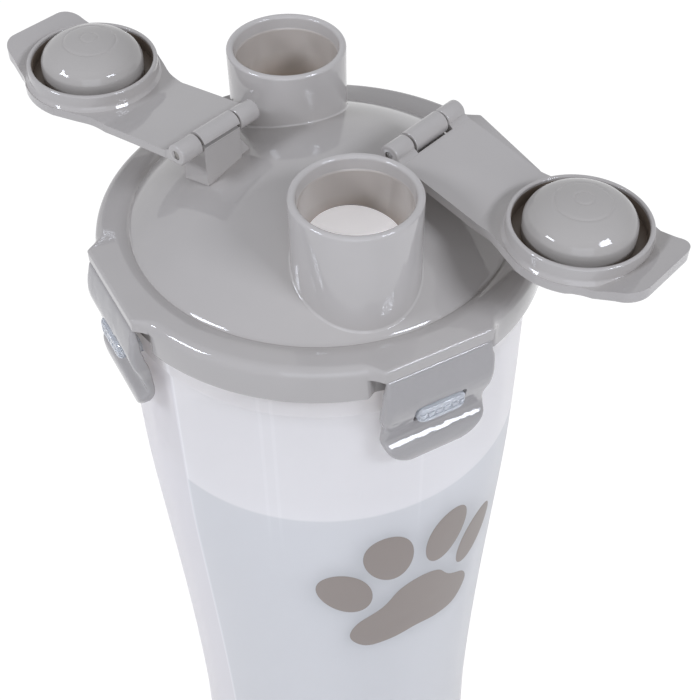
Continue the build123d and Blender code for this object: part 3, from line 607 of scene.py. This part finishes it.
def make_spouts():
    """Spout tube: a fillet that leaves the dome along its slope, a straight wall, a round lip and the
    bore. The foot's rows stand on the dome's height at each of their own points."""
    fillet = 0.5
    t = np.linspace(0, 1, 9)
    r_foot = SPOUT_R + fillet * (1 - np.sin(t * pi / 2))
    rise = fillet * (1 - np.cos(t * pi / 2))
    top = rounded([(SPOUT_R, SPOUT_TOP_Z - 6), (SPOUT_R, SPOUT_TOP_Z), (SPOUT_BORE_R + 0.35, SPOUT_TOP_Z),
                   (SPOUT_BORE_R + 0.2, SPOUT_TOP_Z - 2.9), (SPOUT_BORE_R, SPOUT_TOP_Z - 3.3),
                   (SPOUT_BORE_R, SPOUT_TOP_Z - 8)], [0, 0.75, 0.8, 0.4, 0.4, 0], 8)
    a = np.linspace(0, 2 * pi, 128, endpoint=False)
    for name, sign in (("spout_front", 1), ("spout_back", -1)):
        cx, cy = sign * SPOUT_XY[0], sign * SPOUT_XY[1]

        def skin(r):
            x, y = cx + r * np.cos(a), cy + r * np.sin(a)
            return x, y, dome_z(x, y)

        x, y, z = skin(r_foot[:, None])
        foot = np.stack([x, y, z + rise[:, None] - 0.03], -1)
        x, y, z = skin(np.array([[SPOUT_BORE_R], [14.3], [SPOUT_R + fillet]]))
        low = np.stack([x, y, z + np.array([[1.0], [-2.15], [-0.4]])], -1)
        pts = np.concatenate([foot, turned(top, 128, (cx, cy)), low])
        ob = piece(name, pts, grid_faces(*pts.shape[:2], wrap_rows=True, wrap_cols=True), "bottle",
                   SPOUT_PP_PAINTED_LIGHT)
        # The bore's own faces take the bore plastic, with its painted brown shade deep down.
        second_material(ob, BORE_PP_PAINTED_SHADE, lambda x, y, z: np.hypot(x - cx, y - cy) < SPOUT_BORE_R + 0.15)


def make_posts():
    """Hinge posts: a block with a split round head and a deeper foot, carried along the hinge, and a
    triangular rib at its end."""
    for name, joint, side in (("front", "front_cap_hinge", 1), ("back", "back_cap_hinge", -1)):
        x0, y0, z0 = np.array(JOINTS[joint]["pos_m"]) / MM
        head = np.linspace(radians(169), radians(-57), 24)
        mouth = [(-2.1, -1.35), (-2.35, -0.45), (-0.9, -0.45), (-0.9, 0.45), (-2.3, 0.45)]
        foot_z, back_z = (dome_z(x0, y0 + side * u) - z0 - 0.6 for u in (0, 5.3))
        outline = np.vstack([mouth, np.column_stack([2.5 * np.cos(head), 2.5 * np.sin(head)]),
                             [(2.1, -2.1), (2.1, -3.5), (4.9, -4.4), (5.3, back_z), (-2.1, foot_z)]])
        pts, faces = prism(outline, -5.1, 5.1)
        frame_m = axes((x0, y0, z0), (0, side, 0), (0, 0, 1), (side, 0, 0))
        ob = piece(f"hinge_post_{name}", placed(pts, frame_m), faces, "bottle", LID_PP,
                   sharp=30)
        bevel(ob, 0.3, 3)
        rib = [(4.8, -2.6), (9.4, -9.9), (9.4, -10.5), (4.8, -10.5)]
        pts, faces = prism(rib, -2.0, 1.4)
        frame_m = axes((x0, y0, z0), (side, 0, 0), (0, 0, 1), (0, -side, 0))
        bevel(piece(f"hinge_rib_{name}", placed(pts, frame_m), faces, "bottle", LID_PP),
              0.3, 2)


# ---- flip caps ----
REACH = 39.9                       # from the hinge to the disc's middle
DISC_TOP, DISC_T, DISC_R = -4.75, 2.0, 15.6
BEND_START, BEND_END = 3.4, 23.0
TAB_START, TAB_END, TAB_RISE = 51.5, 60.2, 3.1
PLUG_R, PLUG_SIDE, PLUG_RISE = 11.4, 3.0, 6.12
PLUG_RINGS = [(5.8, 0.25, 0.14), (1.9, 0.2, 0.12)]      # radius, width, depth


def cap_axes(joint, side):
    """A cap's own axes at rest: X along the hinge, Y out to the disc, Z out of the inner face."""
    lift = radians(180 - JOINTS[joint]["range_deg"][1])
    origin = np.array(JOINTS[joint]["pos_m"]) / MM
    x = np.array((side, 0, 0))
    z = np.array((0, -side * sin(lift), cos(lift)))
    return axes(origin, x, np.cross(z, x), z)


def cap_outline():
    """Half width at each reach along the cap: straight arm, flare, disc, drawn-in neck, round tab."""
    arm = np.array([(3.3, 11.0), (10.0, 11.0), (17.0, 11.0), (21.0, 11.0)])
    flare = spline([(22.4, 11.0), (27.0, 11.5), (31.5, 13.3), (36.0, 15.1)], 6)
    ends = radians(105), radians(64)
    t = np.linspace(ends[0], ends[1], 26)
    disc = np.column_stack([REACH + DISC_R * np.cos(t), DISC_R * np.sin(t)])
    neck = spline([(47.9, 13.1), (50.0, 12.1), (53.0, 11.2), (56.0, 10.4)], 6)
    tip_t = np.linspace(radians(78), 0, 10)
    tip = np.column_stack([56.0 + 4.2 * np.cos(tip_t), 6.2 + 4.2 * np.sin(tip_t)])
    return np.vstack([arm, flare, disc, neck[:-1], tip, [(TAB_END, 3.0), (TAB_END, 0.01)]])


def make_caps():
    """Flip caps: plate swept along the reach, collar, knuckles and domed plug, all in the cap's axes. The
    plate falls from the hinge to the disc by a power of the reach and climbs again in the finger tab. The
    plug's crown is half an ellipse with two fine rings, each a bell curve of the radius."""
    for end, side in (("front", 1), ("back", -1)):
        joint, body, node = f"{end}_cap_hinge", f"{end}_cap", f"flip_cap_{end}"
        m = cap_axes(joint, side)
        outline = cap_outline()
        y, w = outline[:, :1], outline[:, 1:]
        u = np.linspace(-1, 1, 65)
        bend = np.clip((y - BEND_START) / (BEND_END - BEND_START), 0, 1)
        beyond = np.clip((np.hypot(w * u, y - REACH) - 13.9) / 0.4, 0, 1)
        climb = np.clip((y - TAB_START) / (TAB_END - TAB_START), 0, 1) * beyond
        z = -0.5 + (DISC_TOP + 0.5) * bend**1.05 + TAB_RISE * climb
        top = np.stack(np.broadcast_arrays(w * u, y, z), -1)
        bottom = np.stack(np.broadcast_arrays(w * u, y, z - DISC_T - 0.6 * climb), -1)[:, ::-1]
        around = np.concatenate([top, bottom], 1)
        ends = [np.repeat(around[k:k + 1].mean(1, keepdims=True), around.shape[1], 1) for k in (0, -1)]
        pts = np.concatenate([ends[0], around, ends[1]])
        plate = piece(f"cap_plate_{end}", placed(pts, m), grid_faces(*pts.shape[:2], wrap_cols=True), body,
                      LID_PP, sharp=38)
        bevel(plate, 0.6, 4, 38)
        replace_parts(plate, node)

        ring_m = m.copy()
        ring_m[:3, 3] = placed(np.array([0, REACH, 0]), m)
        collar = rounded([(13.55, DISC_TOP - 0.3), (13.55, DISC_TOP + 3.55), (14.55, DISC_TOP + 3.55),
                          (14.6, DISC_TOP + 0.75), (15.3, DISC_TOP - 0.05), (15.2, DISC_TOP - 0.3)],
                         [0, 0.4, 0.45, 1.2, 0.05, 0], 5)
        ring_piece(f"cap_collar_{end}", collar, body, LID_PP, 128, matrix=ring_m)
        for hand, where in ((1, "a"), (-1, "b")):
            hinge_m = axes(m[:3, 3], m[:3, 1], m[:3, 2], m[:3, 0] * hand)
            barrel = rounded([(1.06, 5.55), (2.4, 5.55), (2.4, 11.05), (1.06, 11.05)],
                             [0, 0.35, 0.35, 0], 3)
            ring_piece(f"cap_knuckle_{end}_{where}", barrel, body, LID_PP, 48,
                       matrix=hinge_m)
            web, faces = prism([(0.8, 1.2), (3.6, -0.5), (3.6, -2.5), (0.3, -2.35)], 5.6, 11.0)
            bevel(piece(f"cap_web_{end}_{where}", placed(web, hinge_m), faces, body, LID_PP), 0.25, 2)

        foot = [(0, -1.0), (9.5, -1.0), (9.5, 0.0), (11.1, 0.0), (PLUG_R, 0.3)]
        t = np.linspace(pi / 2, 0, 120)
        ridge = 1 + 0.0012 * np.sin(t * 28) * (t > 0.95)
        crown = np.column_stack([PLUG_R * np.sin(t) * ridge, PLUG_SIDE + PLUG_RISE * np.cos(t) * ridge])
        for radius, width, depth in PLUG_RINGS:
            crown[:, 1] -= depth * np.exp(-((crown[:, 0] - radius) / width) ** 2)
        profile = np.vstack([foot, crown]) + (0, DISC_TOP)
        ob = ring_piece(f"plug_{end}", profile, body, PLUG_SILICONE, 128, matrix=ring_m,
                        closed=False)
        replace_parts(ob, f"spout_plug_{end}")
        # A thin brown ring between plug and collar, lining the collar's inner wall: painted shade in the
        # gap.
        rim = np.array([(11.2, -0.2), (13.6, -0.2), (13.6, 2.9), (13.48, 2.7), (13.46, 0.06),
                        (11.2, 0.06)]) + (0, DISC_TOP)
        ring_piece(f"plug_foot_shade_{end}", rim, body, GAP_SHADE_SILICONE, 128, matrix=ring_m)


# ---- lock tabs ----
TAB_FRONT = [(-0.1, 0.25), (0.25, 0.05), (0.55, -0.45), (0.8, -1.3), (1.2, -3.0), (1.65, -5.5), (1.8, -7.9),
             (1.35, -10.8), (0.6, -13.4), (-0.1, -15.6), (-0.6, -17.4), (-0.85, -18.7), (-0.75, -19.4),
             (-0.2, -20.0), (0.5, -20.6), (0.95, -21.3), (1.15, -22.6), (1.1, -24.2), (0.9, -25.4),
             (0.6, -26.8)]
TAB_BACK = [(-0.55, 0.25), (-0.6, -0.5), (-0.7, -2.7), (-0.75, -5.5), (-1.2, -8.3), (-1.9, -11.3),
            (-2.35, -14.4), (-2.5, -16.9), (-2.4, -19.9), (-1.7, -22.9), (-1.1, -25.5), (-0.8, -26.8)]
TAB_HALF = [(0.25, 12.3), (-0.7, 12.3), (-2.5, 12.55), (-4.2, 12.9), (-10.8, 12.9), (-12.5, 12.7),
            (-14.7, 12.2), (-16.2, 12.1), (-19.2, 12.5), (-19.4, 12.5)]
TAB_CORNER = 8.6
SLOT = (6.1, -14.6, -9.5)          # half width, lower and upper edge from the fold


def make_tabs():
    """Lock tab: a rounded-rectangle section runs down the front and back profiles. The width follows the
    outline and a circle at each lower corner, and the end closes along a quarter circle."""
    end = TAB_BACK[-1][1]
    down = np.concatenate([np.linspace(0.25, end + TAB_CORNER, 90),
                           end + TAB_CORNER * np.cos(np.linspace(0, pi / 2, 26))[1:]])
    front_curve, back_curve = spline(TAB_FRONT, 8), spline(TAB_BACK, 8)
    front = np.interp(-down, -front_curve[:, 1], front_curve[:, 0])
    back = np.interp(-down, -back_curve[:, 1], back_curve[:, 0])
    half_curve = spline(TAB_HALF, 6)
    half = np.interp(-down, -half_curve[:, 0], half_curve[:, 1])
    drop = np.clip(end + TAB_CORNER - down, 0, TAB_CORNER)
    half = half - (TAB_CORNER - np.sqrt(np.maximum(TAB_CORNER**2 - drop**2, 0)))
    closing = np.clip((down - end) / 0.8, 0, 1)
    thin = np.sqrt(1 - (1 - closing) ** 2)
    middle, thick = (front + back) / 2, (front - back) / 2 * np.maximum(thin, 0.02)
    front_r = np.minimum(1.3, thick * 0.98)[:, None]
    back_r = np.minimum(0.4, thick * 0.98)[:, None]
    t = np.linspace(0, pi / 2, 8)
    w, d = half[:, None], thick[:, None]
    u_front, v_front = w - front_r + front_r * np.sin(t), d - front_r + front_r * np.cos(t)
    u_back, v_back = w - back_r + back_r * np.cos(t), -(d - back_r) - back_r * np.sin(t)
    fill = np.linspace(-1, 1, 25)[1:-1]
    flat_u, flat_v = (w - front_r) * fill, np.repeat(d, len(fill), 1)
    low_u, low_v = -(w - back_r) * fill, np.repeat(-d, len(fill), 1)
    ring_u = np.concatenate([flat_u, u_front, u_back, low_u, -u_back[:, ::-1], -u_front[:, ::-1]], 1)
    ring_v = np.concatenate([flat_v, v_front, v_back, low_v, v_back[:, ::-1], v_front[:, ::-1]], 1)
    out = FOLD_D + middle[:, None] + ring_v
    up = np.repeat(FOLD_Z + down[:, None], ring_u.shape[1], 1)
    ring = np.stack([out, ring_u, up], -1)
    caps = [np.repeat(ring[k:k + 1].mean(1, keepdims=True), ring.shape[1], 1) for k in (0, -1)]
    ring = np.concatenate([caps[0], ring, caps[1]])
    half_slot, slot_low, slot_high = SLOT
    slot_outline = rounded([(-half_slot, slot_low), (half_slot, slot_low), (half_slot, slot_high),
                            (-half_slot, slot_high)], [0.9] * 4, 5, closed=True)
    for number, angle in enumerate(TAB_ANGLES, 1):
        m = tab_axes(angle)
        ob = piece(f"tab_{number}_plate", placed(ring, m), grid_faces(*ring.shape[:2], wrap_cols=True),
                   f"tab_{number}", TAB_PP)
        slot, faces = prism(slot_outline, FOLD_D - 5, FOLD_D + 5)
        slot_m = axes((0, 0, FOLD_Z), m[:3, 1], m[:3, 2], m[:3, 0])
        cut_out(ob, piece("slot_cutter", placed(slot, slot_m), faces, f"tab_{number}", TAB_PP), 45)
        bevel(ob, 0.25, 2, 60)
        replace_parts(ob, f"lock_tab_{number}")


make_cup()
make_catches()
make_paw()
make_water()
make_lid()
make_partition()
make_spouts()
make_posts()
make_caps()
make_tabs()

# The divider takes the off-white plastic with its painted glow.
for node, material in (("divider", DIVIDER_PP_PAINTED_GLOW), ("divider_seal", SEAL_SILICONE),
                       ("lid_gasket", SEAL_SILICONE), ("hinge_pins", PIN_STEEL)):
    mesh = frame["nodes"][node].data
    mesh.materials.clear()
    mesh.materials.append(material)


# ---- floor, light and camera ----
def direct_rays(tree):
    """1 for rays that show the surround itself: the camera's, mirrored and passed through clear parts."""
    seen = add_node(tree, "ShaderNodeLightPath")
    direct = add_node(tree, "ShaderNodeMath", {"operation": "MAXIMUM"},
                      {0: seen.outputs["Is Camera Ray"], 1: seen.outputs["Is Glossy Ray"]})
    return add_node(tree, "ShaderNodeMath", {"operation": "MAXIMUM"},
                    {0: direct.outputs["Value"], 1: seen.outputs["Is Transmission Ray"]}).outputs["Value"]


def make_stage():
    """Plain pale floor that renders white and keeps the object's shadow."""
    material, tree, out = new_material("studio_floor_paper")
    paper = add_node(tree, "ShaderNodeBsdfDiffuse", {"Color": linear("#f2f2f2")})
    glow = add_node(tree, "ShaderNodeEmission", {"Color": (1, 1, 1, 1), "Strength": 1.08})
    share = add_node(tree, "ShaderNodeMath", {"operation": "MULTIPLY", 1: 0.92},
                     {0: direct_rays(tree)})
    mix = add_node(tree, "ShaderNodeMixShader", {}, {"Fac": share.outputs["Value"], 1: paper.outputs[0],
                                                     2: glow.outputs[0]})
    tree.links.new(mix.outputs[0], out.inputs["Surface"])
    mesh = bpy.data.meshes.new("floor")
    half = 3.0
    mesh.from_pydata([(-half, -half, 0), (half, -half, 0), (half, half, 0), (-half, half, 0)], [],
                     [(0, 1, 2, 3)])
    mesh.materials.append(material)
    floor = bpy.data.objects.new("floor", mesh)
    bpy.context.scene.collection.objects.link(floor)


def area_light(name, place, target, size, energy):
    """Soft rectangular lamp that faces a target; places and sizes in metres, energy in watts."""
    data = bpy.data.lights.new(name, "AREA")
    data.shape, data.size, data.size_y, data.energy = "RECTANGLE", size[0], size[1], energy
    data.color = linear("#ecf2ff")[:3]
    ob = bpy.data.objects.new(name, data)
    ob.location = place
    ob.rotation_euler = (Vector(target) - Vector(place)).to_track_quat("-Z", "Y").to_euler()
    bpy.context.scene.collection.objects.link(ob)


def make_world():
    """Even pale surround: white to the camera and to reflections, soft light on the object."""
    world = bpy.data.worlds.new("studio")
    world.use_nodes = True
    tree = world.node_tree
    tree.nodes.clear()
    out = tree.nodes.new("ShaderNodeOutputWorld")
    direct = direct_rays(tree)
    level = add_node(tree, "ShaderNodeMapRange", {"To Min": 0.37, "To Max": 1.03}, {"Value": direct})
    tone = add_node(tree, "ShaderNodeMixRGB", {"Color1": linear("#f1f4ff"), "Color2": (1, 1, 1, 1)},
                    {"Fac": direct})
    back = add_node(tree, "ShaderNodeBackground", {},
                    {"Color": tone.outputs["Color"], "Strength": level.outputs["Result"]})
    tree.links.new(back.outputs[0], out.inputs["Surface"])
    bpy.context.scene.world = world


def make_camera():
    """Camera fitted to the photograph."""
    data = bpy.data.cameras.new("camera")
    data.lens, data.sensor_width, data.sensor_fit = 63.23, 36.0, "HORIZONTAL"
    data.clip_start = 0.01
    right = Vector((0.67080, -0.74160, -0.00766))
    up = Vector((0.53688, 0.47845, 0.69487))
    back = Vector((-0.51165, -0.47023, 0.71910))
    ob = bpy.data.objects.new("camera", data)
    ob.matrix_world = Matrix.Translation((-0.152147, -0.147941, 0.399185)) @ Matrix(
        (right, up, back)).transposed().to_4x4()
    bpy.context.scene.collection.objects.link(ob)
    bpy.context.scene.camera = ob


make_stage()
make_world()
make_camera()
area_light("softbox_left", (-0.73, 0.33, 0.785), (0, 0, 0.22), (0.3, 0.18), 4.5)
area_light("softbox_right", (0.05, -0.79, 0.83), (0, 0, 0.22), (0.3, 0.2), 4.6)
area_light("front_fill", (-0.8, -0.78, 0.55), (0, 0, 0.15), (0.8, 0.8), 2.6)

bpy.context.scene.view_settings.view_transform = "Standard"
